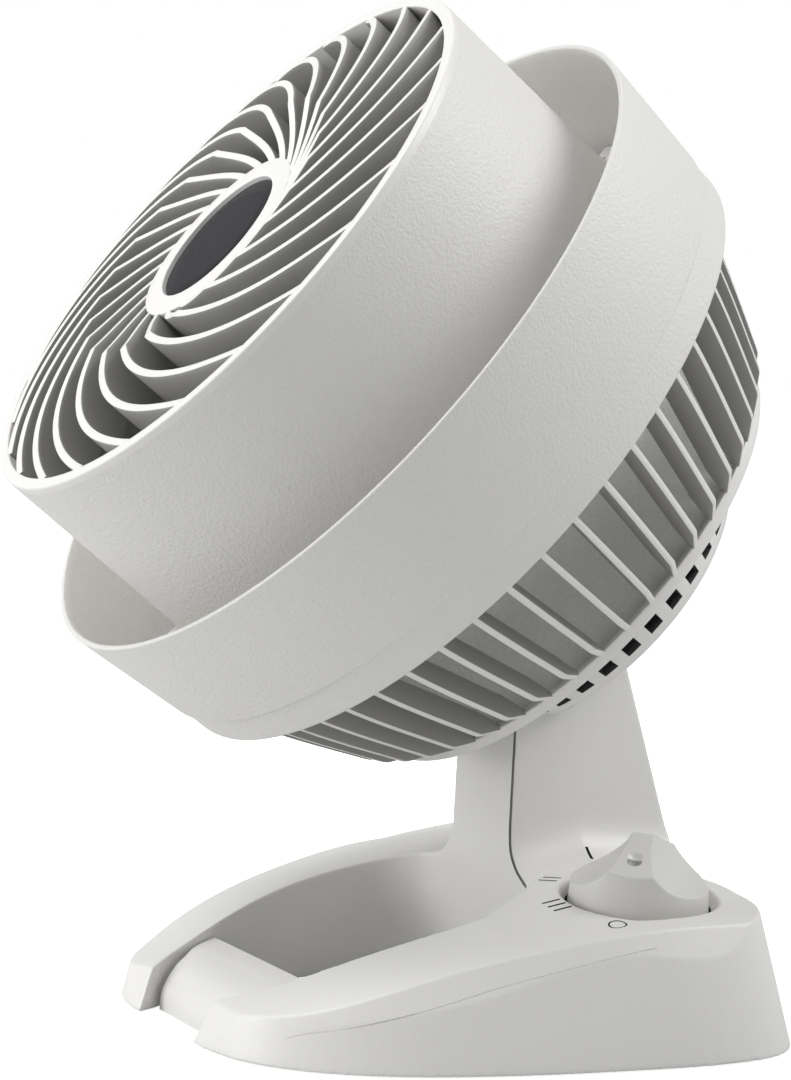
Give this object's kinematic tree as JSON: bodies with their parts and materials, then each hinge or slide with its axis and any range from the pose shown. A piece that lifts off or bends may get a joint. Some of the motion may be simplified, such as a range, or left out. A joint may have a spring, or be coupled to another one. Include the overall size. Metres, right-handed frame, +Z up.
{
  "type": "air circulator fan",
  "caption": "Desk air circulator fan: drum head with a domed spiral grille and outer ring, tilting on a pedestal over a U-shaped base with a speed knob.",
  "frame": {"origin": "centre of the base's footprint, on the table", "axes": "+Z up, +X towards the side with the speed knob, the fan blows towards -Y"},
  "size_m": [0.27, 0.2603, 0.352],
  "materials": {
    "white_body": "satin",
    "grey_under": "matte",
    "grey_plastic": "satin",
    "badge_plastic": "satin",
    "black_plastic": "matte",
    "foot_rubber": "matte",
    "zinc_steel": "satin",
    "bearing_steel": "polished",
    "lamination_steel": "matte",
    "motor_aluminium": "cast",
    "copper_wire": "varnished"
  },
  "bodies": {
    "stand": {"base_shell": "white_body", "pedestal_front_cover": "white_body", "ramp_plate": "white_body", "base_bottom_cover": "grey_under", "rubber_feet": "foot_rubber", "base_screws": "zinc_steel", "cord_inlet_grommet": "black_plastic", "speed_switch_body": "black_plastic", "switch_nut": "zinc_steel", "hinge_pin": "zinc_steel", "hinge_nut": "zinc_steel", "friction_washers": "black_plastic"},
    "head": {"front_grille": "white_body", "badge_disc": "badge_plastic", "inner_duct": "white_body", "outer_ring": "white_body", "duct_standoffs": "white_body", "rear_grille": "white_body", "motor_cowl": "grey_plastic", "rear_motor_cap": "white_body", "head_hinge_bracket": "zinc_steel", "motor_front_bracket": "motor_aluminium", "motor_rear_bracket": "motor_aluminium", "front_bearing": "bearing_steel", "rear_bearing": "bearing_steel", "stator_core": "lamination_steel", "stator_windings": "copper_wire", "motor_screws": "zinc_steel", "grille_screws": "zinc_steel"},
    "rotor": {"motor_shaft": "bearing_steel", "rotor_core": "lamination_steel", "propeller": "grey_plastic", "propeller_nut": "black_plastic"},
    "knob": {"speed_knob": "white_body", "switch_shaft": "zinc_steel"}
  },
  "joints": [
    {"name": "head_tilt", "type": "hinge", "parent": "stand", "child": "head", "pos_m": [0, 0.04025, 0.115], "axis": [-1, 0, 0], "range_deg": [-40, 50]},
    {"name": "propeller_spin", "type": "hinge", "parent": "head", "child": "rotor", "pos_m": [0, -0.00811, 0.21115], "axis": [0, -0.766, 0.6428], "continuous": true},
    {"name": "speed_knob_turn", "type": "hinge", "parent": "stand", "child": "knob", "pos_m": [0.075, 0.04425, 0.048], "axis": [-0.1392, 0, -0.9903], "range_deg": [0, 150]}
  ]
}
